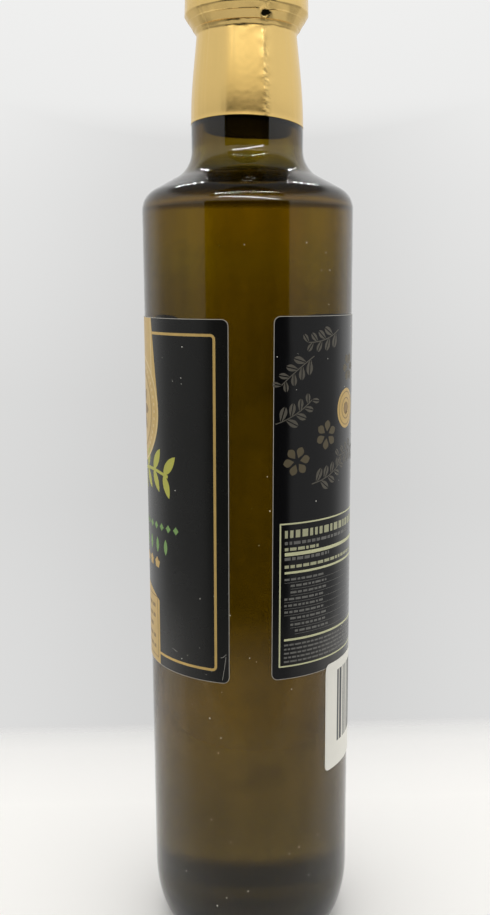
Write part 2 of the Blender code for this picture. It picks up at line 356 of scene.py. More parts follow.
def table_material():
    material, tree, shader = new_material("pale_table", Roughness=0.55, Specular_IOR_Level=0.2)
    point = object_point(tree)
    along = add_node(tree, "SeparateXYZ", {0: point}).outputs[0]
    forward = compute(tree, "MULTIPLY_ADD", along, 1 / (TABLE_X[1] - TABLE_X[0]), 0.5)
    tone = speckle(tree, point, 14.0)
    colour = mix_colours(tree, tone, shaded(TABLE_COLOUR, 0.985), shaded(TABLE_COLOUR, 1.0))
    # The colour is painted darker towards the front, as painted shade for the tent's dark opening.
    painted_shade = ramp(tree, forward, [(p, (v, v, v)) for p, v in TABLE_PAINTED_SHADE])
    tree.links.new(mix_colours(tree, 1.0, colour, painted_shade, "MULTIPLY"), shader.inputs["Base Color"])
    roughen(tree, shader, speckle(tree, point, 900.0), 0.05 * MM, 0.2)
    there = ramp(tree, forward, [(p, (v, v, v)) for p, v in TABLE_FADE])
    clear = add_node(tree, "BsdfTransparent").outputs[0]
    mixed = add_node(tree, "MixShader", {0: there, 1: clear, 2: shader.outputs[0]})
    tree.links.new(mixed.outputs[0], tree.nodes["Material Output"].inputs["Surface"])
    return material


def make_table():
    half = (TABLE_X[1] - TABLE_X[0]) / 2
    corners = [(-half, -TABLE_HALF_WIDTH, 0), (half, -TABLE_HALF_WIDTH, 0),
               (half, TABLE_HALF_WIDTH, 0), (-half, TABLE_HALF_WIDTH, 0)]
    mesh = bpy.data.meshes.new("table_top")
    mesh.from_pydata(corners, [], [(0, 1, 2, 3)])
    table = add_object("table_top", mesh)
    table.location = (sum(TABLE_X) / 2, 0.0, -0.02 * MM)
    mesh.materials.append(table_material())


make_table()

# The bottle is blown from dark olive glass, about 2.4 mm thick in the body and thicker in its base,
# with sloping shoulders, a hollow punt and a narrow bore. Its inner wall is never quite even.
GLASS_SIDES = 180
BODY_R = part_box("bottle_glass")[1].x
BOTTLE_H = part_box("bottle_glass")[1].z
HEEL_H = 18.7 * MM
HEEL_DEPTH = 7.1 * MM
BEARING_WIDTH = 2.6 * MM
PUNT_H = 4.0 * MM
SHOULDER_Z = 215.2 * MM
SHOULDER_R = 6.4 * MM
SHOULDER_SLOPE = math.radians(28.4)
NECK_ROOT_R = 8.4 * MM
NECK_R = 15.62 * MM
THROAT_R = 13.8 * MM
THROAT_Z = 261.7 * MM
FLARE_END_Z = 240.0 * MM
CAPSULE_SEAT_Z = 237.0 * MM
LIP_R = 1.1 * MM
WALL = 2.4 * MM
NECK_WALL = 3.0 * MM
NECK_BORE_Z = (238.5 * MM, 242.0 * MM)
BORE_R = 10.0 * MM
FLOOR_Z = 9.0 * MM
FLOOR_CROWN = 0.8 * MM
FLOOR_RIM_Z = 6.6 * MM
INNER_HEEL_R = 8.0 * MM
INNER_HEEL_START = -82
FOIL = 0.3 * MM
FOIL_GAP = 0.27 * MM
FOIL_EDGE_Z = 238.56 * MM
FOIL_EDGE_SLOPE = Vector((0.023, -0.042))
FOIL_EDGE_DROP = 0.68 * MM
WALL_WAVE = 0.12 * MM
WAVES_ROUND = 1.6
WAVE_LENGTH = 28 * MM
WAVES_END_Z = 230 * MM
GLASS_IOR = 1.52
GLASS_DENSITY = 1000.0
GLASS_SHADE = (0.647, 0.560, 0.0)
STREAK = 0.16
STAIN = 0.20
# Painted shade up the glass, by height in millimetres. The colour is nearly black in the base, where light
# does not reach, and dimmer over the labels' height, where less light gets into the oil. It is nearly black
# again just under the oil's surface, as a painted dark reflection, and has lighter and darker bands elsewhere
# to suit the light at each height.
GLASS_PAINTED_SHADE = ((0.0, (0.06, 0.06, 0.06)), (8.0, (0.06, 0.06, 0.06)), (11.5, (0.72, 0.8, 0.7)),
               (45.0, (0.74, 0.81, 0.7)), (63.0, (0.94, 0.99, 0.85)), (76.0, (0.95, 0.99, 0.85)),
               (92.0, (0.86, 0.91, 0.85)), (102.0, (0.73, 0.76, 0.72)), (170.0, (0.72, 0.74, 0.7)),
               (192.0, (0.82, 0.83, 0.8)), (201.0, (0.92, 0.95, 0.9)), (210.0, (1.0, 1.0, 1.0)),
               (216.6, (1.0, 1.0, 1.0)), (218.2, (0.1, 0.12, 0.12)), (222.0, (0.1, 0.12, 0.12)),
               (225.0, (0.7, 0.76, 0.7)), (231.0, (0.97, 0.98, 1.0)))


def arc(centre, radii, start_deg, end_deg, steps):
    """Points of an arc, or of an ellipse's where the two radii differ, in (radius, height)."""
    points = []
    for step in range(steps + 1):
        angle = math.radians(start_deg + (end_deg - start_deg) * step / steps)
        points.append((centre[0] + radii[0] * math.cos(angle), centre[1] + radii[1] * math.sin(angle)))
    return points


def in_steps(points, longest):
    """The same line with a point at least every so often."""
    line = [points[0]]
    for (start_r, start_z), (end_r, end_z) in zip(points, points[1:]):
        count = max(1, math.ceil(math.hypot(end_r - start_r, end_z - start_z) / longest))
        for step in range(1, count + 1):
            share = step / count
            line.append((start_r + (end_r - start_r) * share, start_z + (end_z - start_z) * share))
    return line


def flare_radius(height):
    """The capsule's outer radius on the neck: narrow under the cap, easing out to the full neck."""
    t = min(max((THROAT_Z - height) / (THROAT_Z - FLARE_END_Z), 0.0), 1.0)
    eased = 1.2 * (t**3 - 2 * t**2 + t) + (3 * t**2 - 2 * t**3) + 0.1 * (t**3 - t**2)
    return THROAT_R + (NECK_R - THROAT_R) * eased


def flare(offset, lowest_z, steps=16):
    """Points down the neck, the given distance inside the capsule's outer skin."""
    heights = [THROAT_Z + (FLARE_END_Z - THROAT_Z) * step / steps for step in range(steps + 1)]
    return [(flare_radius(z) - offset, z) for z in heights] + [(NECK_R - offset, lowest_z)]


def foil_edge(angle):
    """The height at which the foil was trimmed: on a slant, and a little lower at the two sides."""
    aside = Vector((math.cos(angle), math.sin(angle))) * NECK_R
    return FOIL_EDGE_Z + FOIL_EDGE_SLOPE.dot(aside) - FOIL_EDGE_DROP * math.sin(angle) ** 2


def shoulder_line(offset):
    """From the neck's foot down to the body: a hollow arc, a straight slope and a round arc."""
    turn = math.degrees(math.pi / 2 - SHOULDER_SLOPE)
    body_centre = (BODY_R - SHOULDER_R, SHOULDER_Z)
    round_arc = arc(body_centre, (SHOULDER_R - offset,) * 2, turn, 0, 18)
    neck_centre_r = NECK_R + NECK_ROOT_R
    slope_end_z = body_centre[1] + SHOULDER_R * math.sin(math.radians(turn))
    slope_end_r = body_centre[0] + SHOULDER_R * math.cos(math.radians(turn))
    slope_start_r = neck_centre_r - NECK_ROOT_R * math.cos(math.radians(turn))
    slope_start_z = slope_end_z + (slope_end_r - slope_start_r) * math.tan(SHOULDER_SLOPE)
    neck_centre = (neck_centre_r, slope_start_z + NECK_ROOT_R * math.sin(math.radians(turn)))
    return arc(neck_centre, (NECK_ROOT_R + offset,) * 2, 180, 180 + turn, 18) + round_arc


def bottle_inside(offset=0.0):
    """The hollow's wall from its floor's centre up to the neck, moved inwards by the offset."""
    heel_centre = (BODY_R - WALL - INNER_HEEL_R, FLOOR_RIM_Z + INNER_HEEL_R)
    heel = arc(heel_centre, (INNER_HEEL_R - offset,) * 2, INNER_HEEL_START, 0, 18)
    crown = [(0.0, FLOOR_Z + offset), (10 * MM, FLOOR_Z - FLOOR_CROWN + offset)]
    return crown + heel + shoulder_line(WALL + offset)[::-1]


middle_of_wall = shoulder_line(0.5 * WALL)


def uneven_wall(radius, angle, height):
    """The inner wall's slow waves. The outer face was shaped by the mould and stays true, and its
    step under the capsule follows the foil's slanting edge."""
    if abs(height - CAPSULE_SEAT_Z) < 0.4 * MM and radius > NECK_R - NECK_WALL + FOIL:
        return radius, foil_edge(angle) - 0.1 * MM
    line = [p for p in middle_of_wall if p[1] <= height]
    outer_limit = line[0][0] if line and height > SHOULDER_Z else BODY_R - 0.5 * WALL
    if radius > outer_limit or height > WAVES_END_Z or height < PUNT_H:
        return radius, height
    around = Vector((math.cos(angle), math.sin(angle), height / WAVE_LENGTH))
    return radius + WALL_WAVE * noise.noise(WAVES_ROUND * around), height


def bottle_profile():
    neck_bore = [(NECK_R - NECK_WALL, z) for z in NECK_BORE_Z]
    neck_bore += [(BORE_R, THROAT_Z), (BORE_R, BOTTLE_H - LIP_R)]
    finish_r = THROAT_R - FOIL - FOIL_GAP
    lip = arc((BORE_R + LIP_R, BOTTLE_H - LIP_R), (LIP_R, LIP_R), 180, 90, 6)[1:]
    lip += arc((finish_r - LIP_R, BOTTLE_H - LIP_R), (LIP_R, LIP_R), 90, 0, 6)
    neck = flare(FOIL + FOIL_GAP, CAPSULE_SEAT_Z + 0.3 * MM) + [(NECK_R, CAPSULE_SEAT_Z)]
    base_r = BODY_R - HEEL_DEPTH
    heel = arc((base_r, HEEL_H), (HEEL_DEPTH, HEEL_H), 0, -90, 30)
    punt = arc((0.0, 0.0), (base_r - BEARING_WIDTH, PUNT_H), 0, 90, 12)[:-1] + [(0.0, PUNT_H)]
    inside = in_steps(bottle_inside() + neck_bore, 2 * MM)
    outside = in_steps([neck[-1]] + shoulder_line(0.0) + heel, 1.2 * MM)
    return inside + lip + neck[:-1] + outside + punt


def glass_material():
    material, tree, shader = new_material("dark_olive_glass", IOR=GLASS_IOR, Transmission_Weight=1.0)
    point = object_point(tree)
    up = compute(tree, "DIVIDE", add_node(tree, "SeparateXYZ", {0: point}).outputs[2], BOTTLE_H)
    # The glass's colour is painted darker band by band up its height, as painted shade.
    tint = ramp(tree, up, [(height * MM / BOTTLE_H, colour) for height, colour in GLASS_PAINTED_SHADE])
    streaks = ease(tree, speckle(tree, object_point(tree, (1.0, 1.0, 0.12)), 130.0, 2.0), 0.42, 0.72)
    clouds = ease(tree, speckle(tree, point, 45.0, 3.0), 0.50, 0.70)
    stains = compute(tree, "MULTIPLY_ADD", clouds, -STAIN, 1.0)
    stains = compute(tree, "MULTIPLY_ADD", streaks, -STREAK, stains)
    tree.links.new(mix_colours(tree, 1.0, tint, stains, "MULTIPLY"), shader.inputs["Base Color"])
    smears = ease(tree, speckle(tree, point, 26.0), 0.52, 0.75)
    tree.links.new(compute(tree, "MULTIPLY_ADD", smears, 0.03, 0.0), shader.inputs["Roughness"])
    waves = speckle(tree, object_point(tree, (1.0, 1.0, 0.45)), 60.0, 1.5)
    roughen(tree, shader, waves, 0.05 * MM, 0.35)
    volume = add_node(tree, "VolumeAbsorption", {"Color": (*GLASS_SHADE, 1.0), "Density": GLASS_DENSITY})
    tree.links.new(volume.outputs[0], tree.nodes["Material Output"].inputs["Volume"])
    return material


def hand_over(piece, material, node=None):
    """Every piece rides on the one body and takes one of the record's finishes."""
    piece.data.materials.append(material)
    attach(piece, "root")
    if node:
        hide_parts(node)


bottle = turn_profile("bottle", bottle_profile(), GLASS_SIDES, uneven_wall)
lit_by_tube = bpy.data.collections.new("lit_by_tube")
lit_by_tube.objects.link(bottle)
tube.light_linking.receiver_collection = lit_by_tube
hand_over(bottle, glass_material(), "bottle_glass")

# The oil fills the body up into the shoulder. It wets the wall, so that it reaches just into the
# glass, and its surface climbs the wall in a small meniscus.
OIL_LEVEL = 222.3 * MM
OIL_REACH = 0.1 * MM
MENISCUS_H = 1.3 * MM
MENISCUS_WIDTH = 1.5 * MM
OIL_IOR = 1.47
OIL_DENSITY = 60.0
OIL_SHADE = (0.975, 0.895, 0.0)


def oil_profile():
    wall = in_steps(bottle_inside(-OIL_REACH), 3 * MM)
    side = [p for p in wall if p[1] < OIL_LEVEL + MENISCUS_H]
    wall_r = side[-1][0]
    surface = []
    for step in range(13):
        away = 4.5 * MENISCUS_WIDTH * step / 12
        surface.append((wall_r - away, OIL_LEVEL + MENISCUS_H * math.exp(-away / MENISCUS_WIDTH)))
    return side + surface + [(0.0, OIL_LEVEL)]


def oil_material():
    material, tree, shader = new_material("olive_oil", Base_Color=(1.0, 1.0, 1.0), Roughness=0.0,
                                          IOR=OIL_IOR, Transmission_Weight=1.0)
    roughen(tree, shader, speckle(tree, object_point(tree), 35.0, 1.0), 0.04 * MM, 0.25)
    volume = add_node(tree, "VolumeAbsorption", {"Color": (*OIL_SHADE, 1.0), "Density": OIL_DENSITY})
    tree.links.new(volume.outputs[0], tree.nodes["Material Output"].inputs["Volume"])
    return material


oil = turn_profile("oil", oil_profile(), GLASS_SIDES, uneven_wall)
hand_over(oil, oil_material(), "olive_oil")

# The capsule is a tube of gold foil, shrunk over the screw cap and the neck and rolled in under the
# cap. It has a lap seam down the camera's side, pleats and a small tear under the rim.
FOIL_SIDES = 420
CAPSULE_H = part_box("gold_capsule")[1].z
RIM_R = 17.0 * MM
RIM_Z = 267.0 * MM
CAP_TOP_R = 16.3 * MM
CAP_EDGE_R = 1.5 * MM
RIM_BEVEL = ((0.15 * MM, 0.3 * MM), (1.08 * MM, 1.70 * MM), (1.25 * MM, 1.78 * MM), (2.30 * MM, 3.72 * MM))
NIP_BEVEL = ((0.55 * MM, 1.45 * MM), (0.38 * MM, 0.95 * MM), (0.05 * MM, 0.35 * MM))
SEAM_ANGLE = math.radians(17.5)
SEAM_STEP = 0.10 * MM
SEAM_WIDTH = math.radians(2.2)
SEAM_REACH = 0.35
LAP_SHARPNESS = 90.0
EDGE_FLARE = 0.10 * MM
EDGE_CURL_H = 0.5 * MM
SKIN_CRUMPLES = ((0.05 * MM, 0.35, 5.0 * MM, 3.0), (0.045 * MM, 0.06, 1.6 * MM, 23.0))
FRONT_CRUMPLE = (0.012 * MM, 1.0, 1.3 * MM, 29.0)
FRONT_REACH = 0.38
SEAM_CRUMPLES = ((1, (0.16 * MM, 1.0, 0.9 * MM, 11.0)), (3, (0.10 * MM, 1.0, 2.2 * MM, 5.0)))
RIM_CRUMPLE = (0.17 * MM, 1.0, 3.0 * MM, 7.0)
NIP_CRUMPLE = (0.16 * MM, 3.0, 2.6 * MM, 17.0)
NIP_RISE = 0.9 * MM
NIP_REACH = 1.3 * MM
NIP_TURN = 0.9
CREASES = ((math.radians(-50), 0.09 * MM), (math.radians(-17), 0.03 * MM), (math.radians(48), 0.05 * MM))
CREASE_WIDTH = 0.022
FOLD_ANGLE = math.radians(6.0)
RIM_FOLDS = ((0.45 * MM, 0.0, 20, 0.10), (-0.50 * MM, 0.20, 40, 0.07))
FOLDS_DROP = 0.6 * MM
FOLDS_REACH = 2.4 * MM
TEAR_PLACE = (math.radians(16.5), 264.6 * MM)
TEAR_DEPTH = 0.9 * MM
TEAR_R = 1.1 * MM
# Painted shade: the tear's pit is coloured nearly black out to these distances, for the dark inside of the
# hole.
TEAR_SHADE_REACH = (1.25 * MM, 0.75 * MM)
TEAR_SHADE_COLOUR = (0.012, 0.010, 0.006, 1.0)
TOP_DISH = 0.25 * MM
GOLD = (0.79, 0.555, 0.205)


def angle_from(angle, centre):
    return (angle - centre + math.pi) % math.tau - math.pi


def hump(distance, width):
    return math.exp(-((distance / width) ** 2))


def crumple(angle, height, depth, upright, size, seed):
    """How far the uneven skin stands out here. An upright scale below 1 draws the crumples out
    in height."""
    skin = Vector((NECK_R * math.cos(angle), NECK_R * math.sin(angle), height * upright)) / size
    return depth * noise.noise(skin + Vector((seed, seed, seed)))


def trimmed(angle, height):
    """On the neck, heights are drawn out so that the foil ends at its slanting edge."""
    if height >= THROAT_Z:
        return height
    share = (THROAT_Z - height) / (THROAT_Z - FOIL_EDGE_Z)
    return THROAT_Z + (foil_edge(angle) - THROAT_Z) * share


def crinkled(radius, angle, height):
    """Where a point of the foil's outer skin really lies, with its crumples, creases, curled edge,
    lap seam, folds in the rim and tear."""
    height = trimmed(angle, height)
    from_seam = angle_from(angle, SEAM_ANGLE)
    from_front = angle_from(angle, 0.0)
    out = crumple(angle, height, *FRONT_CRUMPLE) * hump(from_front, FRONT_REACH)
    for skin_crumple in SKIN_CRUMPLES:
        out += crumple(angle, height, *skin_crumple)
    for crease_angle, depth in CREASES:
        out -= depth * hump(angle_from(angle, crease_angle), CREASE_WIDTH)
    out += EDGE_FLARE * math.exp(-max(height - foil_edge(angle), 0.0) / EDGE_CURL_H)
    for reach, seam_crumple in SEAM_CRUMPLES:
        out += hump(from_seam, reach * SEAM_WIDTH) * crumple(angle, height, *seam_crumple)
    out += SEAM_STEP * hump(from_seam, SEAM_REACH) / (1 + math.exp(LAP_SHARPNESS * from_seam))
    in_rim = hump(height - RIM_Z + FOLDS_DROP, FOLDS_REACH)
    from_fold = angle_from(angle, FOLD_ANGLE)
    for depth, aside, slant, width in RIM_FOLDS:
        out += in_rim * depth * hump(from_fold - aside + (height - RIM_Z) * slant, width)
    out += in_rim * crumple(angle, height, *RIM_CRUMPLE)
    in_nip = hump(height - THROAT_Z - NIP_RISE, NIP_REACH) * hump(from_front, NIP_TURN)
    out += in_nip * crumple(angle, height, *NIP_CRUMPLE)
    tear_away = math.hypot(angle_from(angle, TEAR_PLACE[0]) * NECK_R, height - TEAR_PLACE[1])
    out -= TEAR_DEPTH * hump(tear_away, TEAR_R)
    return radius + out, height


def capsule_profile():
    """The cap's slightly dished top, its round edge, the rim, the nip under it and the neck's skirt."""
    top_r = CAP_TOP_R - CAP_EDGE_R
    top = in_steps([(0.0, CAPSULE_H - TOP_DISH), (top_r, CAPSULE_H - TOP_DISH)], 1.2 * MM)
    top = [(r, z + TOP_DISH * min(1.0, (r / top_r) ** 6)) for r, z in top]
    edge = arc((top_r, CAPSULE_H - CAP_EDGE_R), (CAP_EDGE_R, CAP_EDGE_R), 84, 0, 8)
    bevel = [(RIM_R - back, RIM_Z - down) for back, down in RIM_BEVEL]
    side = in_steps([edge[-1], (RIM_R, RIM_Z)] + bevel, 0.35 * MM)
    nip = [(THROAT_R + out, THROAT_Z + up) for out, up in NIP_BEVEL]
    under = in_steps([side[-1]] + nip + [(THROAT_R, THROAT_Z)], 0.28 * MM)
    skirt = in_steps(flare(0.0, FOIL_EDGE_Z, 40), 0.5 * MM)
    return top + edge[:-1] + side[:-1] + under[:-1] + skirt


def make_capsule():
    """The outer skin, turned under at its trimmed edge and closed by a plain inner face."""
    inside_top = BOTTLE_H + FOIL
    inside = [(r - FOIL, z) for r, z in reversed(flare(0.0, FOIL_EDGE_Z))]
    inside += [(THROAT_R - FOIL, inside_top), (0.0, inside_top)]
    inner_points = set(inside)

    def shape(radius, angle, height):
        if (radius, height) in inner_points:
            return radius, trimmed(angle, height)
        return crinkled(radius, angle, height)

    return turn_profile("foil_capsule", capsule_profile() + inside, FOIL_SIDES, shape)


def foil_material():
    material, tree, shader = new_material("gold_foil", Metallic=1.0)
    point = object_point(tree)
    long_point = object_point(tree, (1.0, 1.0, 0.08))
    streaks = speckle(tree, long_point, 420.0, 3.0)
    cloud = speckle(tree, point, 60.0, 3.0)
    tone = compute(tree, "MULTIPLY_ADD", streaks, 0.5, compute(tree, "MULTIPLY", cloud, 0.5))
    colour = mix_colours(tree, tone, shaded(GOLD, 0.90), shaded(GOLD, 1.06))
    tear = Vector((math.cos(TEAR_PLACE[0]), math.sin(TEAR_PLACE[0]), 0.0)) * (THROAT_R + 1.2 * MM)
    tear.z = TEAR_PLACE[1]
    ragged = add_node(tree, "TexNoise", {"Vector": point, "Scale": 900.0, "Detail": 2.0}).outputs["Color"]
    shifted = combine(tree, "SUBTRACT", ragged, (0.5, 0.5, 0.5))
    push = add_node(tree, "VectorMath", {0: shifted, "Scale": 1.6 * MM}, operation="SCALE").outputs[0]
    away = combine(tree, "SUBTRACT", combine(tree, "ADD", point, push), tuple(tear))
    flat = combine(tree, "MULTIPLY", away, (1.0, 0.62, 1.15))
    length = add_node(tree, "VectorMath", {0: flat}, operation="LENGTH").outputs["Value"]
    # The tear's pit is painted nearly black, as painted shade, and made rougher.
    in_tear_shade = ease(tree, length, *TEAR_SHADE_REACH)
    tree.links.new(mix_colours(tree, in_tear_shade, colour, TEAR_SHADE_COLOUR), shader.inputs["Base Color"])
    split = add_node(tree, "SeparateXYZ", {0: point})
    azimuth = compute(tree, "ARCTAN2", split.outputs[1], split.outputs[0])
    off_seam = compute(tree, "ABSOLUTE", compute(tree, "SUBTRACT", azimuth, SEAM_ANGLE))
    seam = ease(tree, off_seam, 3.2 * SEAM_WIDTH, 0.2 * SEAM_WIDTH)
    grain = compute(tree, "MULTIPLY", speckle(tree, point, 2200.0, 3.0), seam)
    fine = compute(tree, "MULTIPLY_ADD", speckle(tree, point, 500.0, 3.0), 0.12, grain)
    roughen(tree, shader, fine, 0.14 * MM, 0.8)
    rough = compute(tree, "MULTIPLY_ADD", tone, 0.10, 0.20)
    tree.links.new(compute(tree, "MULTIPLY_ADD", in_tear_shade, 0.4, rough), shader.inputs["Roughness"])
    return material


capsule = make_capsule()
hand_over(capsule, foil_material(), "gold_capsule")

# Each label is a sheet of white paper, printed nearly black all over, wrapped round nearly half of the
# body and stuck on slightly askew. The bare paper shows as a thin pale line at its cut edge.
PAPER = 0.12 * MM
GLUE = 0.03 * MM
INK = 0.012 * MM
STRIP = 1.0 * MM
LABEL_ARC = math.radians(153.6)
LABEL_CORNER_R = 1.8 * MM
CUT_EDGE = 0.14 * MM
FRONT_LABEL_Z = (86.1 * MM, 186.0 * MM)
BACK_LABEL_Z = (86.5 * MM, 186.2 * MM)
FRONT_PLACE = (math.radians(-89.5), sum(FRONT_LABEL_Z) / 2, math.radians(0.3))
BACK_PLACE = (math.radians(86.8), sum(BACK_LABEL_Z) / 2, math.radians(0.45))
LABEL_HALF_WIDTH = BODY_R * LABEL_ARC / 2


def rounded_box(left, right, low, high, corner, steps=6):
    """The outline of a box with round corners, as points that run anticlockwise."""
    points = []
    for centre, start in (((right - corner, low + corner), -90), ((right - corner, high - corner), 0),
                          ((left + corner, high - corner), 90), ((left + corner, low + corner), 180)):
        points += arc(centre, (corner, corner), start, start + 90, steps)
    return points


def rule_round(outer, inner):
    """The pieces of a line between two outlines with as many points each."""
    count = len(outer)
    return [[outer[i], outer[(i + 1) % count], inner[(i + 1) % count], inner[i]] for i in range(count)]


def cut_flat(flat, place, normal):
    """Cuts the flat shapes along a line, so that they can bend there."""
    geometry = flat.verts[:] + flat.edges[:] + flat.faces[:]
    bmesh.ops.bisect_plane(flat, geom=geometry, dist=1e-8, plane_co=place, plane_no=normal)


def stick_on(name, outlines, place, lift, thickness, radius_at=None, cuts=()):
    """Thin flat shapes, drawn in metres across and up from a place on the body, wrapped round it.
    The place is (angle, height, clockwise lean). Across is measured along the body's own skin."""
    angle, height, lean = place
    flat = bmesh.new()
    for outline in outlines:
        flat.faces.new([flat.verts.new((across, up, 0.0)) for across, up in outline])
    bmesh.ops.triangulate(flat, faces=flat.faces[:], ngon_method="EAR_CLIP")
    lowest = min(v.co.x for v in flat.verts)
    highest = max(v.co.x for v in flat.verts)
    for line in range(math.ceil(lowest / STRIP), math.floor(highest / STRIP) + 1):
        cut_flat(flat, (line * STRIP, 0, 0), (1, 0, 0))
    for cut in cuts:
        cut_flat(flat, (0, cut, 0), (0, 1, 0))
    tilt = Matrix.Rotation(-lean, 3, "Z")
    for vert in flat.verts:
        leaned = tilt @ vert.co
        turn = angle + leaned.x / BODY_R
        at_height = height + leaned.y
        radius = (radius_at(at_height) if radius_at else BODY_R + GLUE) + lift
        vert.co = Vector((radius * math.cos(turn), radius * math.sin(turn), at_height))
    flat.normal_update()
    inward = [f for f in flat.faces if f.normal.dot(Vector((*f.calc_center_median().xy, 0.0))) < 0]
    bmesh.ops.reverse_faces(flat, faces=inward)
    mesh = bpy.data.meshes.new(name)
    flat.to_mesh(mesh)
    flat.free()
    made = add_object(name, mesh)
    solid = made.modifiers.new("sheet", "SOLIDIFY")
    solid.thickness = thickness
    solid.offset = 1.0
    graph = bpy.context.evaluated_depsgraph_get()
    made.data = bpy.data.meshes.new_from_object(made.evaluated_get(graph))
    made.modifiers.clear()
    made.data.shade_smooth()
    made.data.set_sharp_from_angle(angle=math.radians(35))
    return made


def paper_material(name, colour, roughness, dirt=0.12):
    """Uncoated paper: slightly fibrous, and greyer where it was rubbed."""
    material, tree, shader = new_material(name)
    point = object_point(tree)
    fibres = speckle(tree, object_point(tree, (1.0, 1.0, 0.4)), 1800.0)
    rubbed = ease(tree, speckle(tree, point, 70.0), 0.45, 0.8)
    share = compute(tree, "MULTIPLY_ADD", fibres, 0.5, compute(tree, "MULTIPLY", rubbed, 0.4))
    base = mix_colours(tree, share, shaded(colour, 1.0), shaded(colour, 1 - dirt))
    tree.links.new(base, shader.inputs["Base Color"])
    tree.links.new(compute(tree, "MULTIPLY_ADD", fibres, 0.15, roughness), shader.inputs["Roughness"])
    roughen(tree, shader, fibres, 0.02 * MM, 0.5)
    return material


def ink_material(name, colour, roughness, metallic=0.0, uneven=0.10, gloss=0.5):
    """Printed ink on coated paper: a slightly mottled tone and faint orange peel in its gloss."""
    material, tree, shader = new_material(name, Metallic=metallic, Specular_IOR_Level=gloss)
    point = object_point(tree)
    mottle = speckle(tree, point, 420.0)
    base = mix_colours(tree, mottle, shaded(colour, 1 - uneven), shaded(colour, 1 + uneven))
    tree.links.new(base, shader.inputs["Base Color"])
    worn = speckle(tree, point, 90.0)
    tree.links.new(compute(tree, "MULTIPLY_ADD", worn, 0.10, roughness - 0.05), shader.inputs["Roughness"])
    roughen(tree, shader, speckle(tree, point, 1300.0, 2.0), 0.01 * MM, 0.35)
    return material


white_paper = paper_material("white_label_paper", (0.52, 0.50, 0.45), 0.5)
front_black = ink_material("front_black_ink", (0.0050, 0.0052, 0.0044), 0.27)
back_black = ink_material("back_blue_black_ink", (0.0036, 0.0036, 0.0042), 0.16)


def label_box(inset, heights):
    half_height = (heights[1] - heights[0]) / 2 - inset
    half_width = LABEL_HALF_WIDTH - inset
    return rounded_box(-half_width, half_width, -half_height, half_height, LABEL_CORNER_R - inset)


for name, node, place, heights, ink in (("front", "front_label", FRONT_PLACE, FRONT_LABEL_Z, front_black),
                                        ("back", "back_label", BACK_PLACE, BACK_LABEL_Z, back_black)):
    sheet = stick_on(name + "_label_sheet", [label_box(0.0, heights)], place, 0.0, PAPER)
    hand_over(sheet, white_paper, node)
    cover = stick_on(name + "_label_ground", [label_box(CUT_EDGE, heights)], place, PAPER, INK)
    hand_over(cover, ink)

# The front label's print, in ink: a thin gold border, a broad gold band that ends in a ringed seal, a
# green sprig, two rows of small green marks, a row of stars and a gold plate at the foot. Its lower
# corner is slightly scratched.
INK_LIFT = PAPER + INK
INK_STEP = 0.010 * MM
FRONT_MIDDLE = FRONT_PLACE[1]
BORDER_HALF = 36.0 * MM
BORDER_Z = (89.7 * MM, 181.8 * MM)
BORDER_W = 0.75 * MM
BORDER_CORNER = 1.1 * MM
BAND_HALF = 11.9 * MM
SEAL_R = 15.7 * MM
SEAL_Z = 160.0 * MM
STAR_Z = 116.6 * MM
STAR_SPACING = 4.45 * MM
PLATE_HALF = 14.3 * MM
PLATE_TOP = (105.4 * MM, 109.0 * MM)
PLATE_RULE_Z = (87.7 * MM, 106.2 * MM)
PLATE_RULE_W = 0.3 * MM
PLATE_ROWS = (103.0 * MM, 3.1 * MM)
SPARKS_Z = 127.6 * MM
SPARK_SPACING = 3.3 * MM
SPARK_R = 1.15 * MM
LEAFLETS_Z = 119.7 * MM
LEAFLET_SIZE = (4.6 * MM, 1.7 * MM)
TWIG_Z = 142.0 * MM
TWIG_WAVE = 1.6 * MM
TWIG_BEND = 7.0
TWIG_LEAVES = ((math.radians(58), 7.6 * MM, 3.0 * MM), (math.radians(-58), 7.0 * MM, 2.8 * MM))


def line_box(left, right, low, high, width, corner=0.01 * MM):
    half = width / 2
    outer = rounded_box(left - half, right + half, low - half, high + half, corner + half)
    inner = rounded_box(left + half, right - half, low + half, high - half, max(corner - half, 0.01 * MM))
    return rule_round(outer, inner)


def bar(left, right, low, high):
    return [(left, low), (right, low), (right, high), (left, high)]


def disc(centre, radius, steps=72):
    turns = [math.tau * step / steps for step in range(steps)]
    return [(centre[0] + radius * math.cos(turn), centre[1] + radius * math.sin(turn)) for turn in turns]


def ring(centre, radius, width, steps=72):
    return rule_round(disc(centre, radius + width / 2, steps), disc(centre, radius - width / 2, steps))


def star(centre, radius, inner=0.42, points=5):
    outline = []
    for step in range(2 * points):
        reach = radius if step % 2 == 0 else radius * inner
        angle = math.pi / 2 + math.pi * step / points
        outline.append((centre[0] + reach * math.cos(angle), centre[1] + reach * math.sin(angle)))
    return outline


def leaf(base, angle, length, width, blunt=0.5, steps=8):
    """A leaf from its stalk, widest at the blunt share of its length."""
    sides = [[], []]
    power = math.log(0.5) / math.log(blunt)
    for step in range(steps + 1):
        share = step / steps
        half = 0.5 * width * math.sin(math.pi * share**power) ** 0.8
        for side, sign in ((0, -1), (1, 1)):
            if side == 1 and step in (0, steps):
                continue
            along, off = length * share, sign * half
            sides[side].append((base[0] + along * math.cos(angle) - off * math.sin(angle),
                                base[1] + along * math.sin(angle) + off * math.cos(angle)))
    return sides[0] + sides[1][::-1]


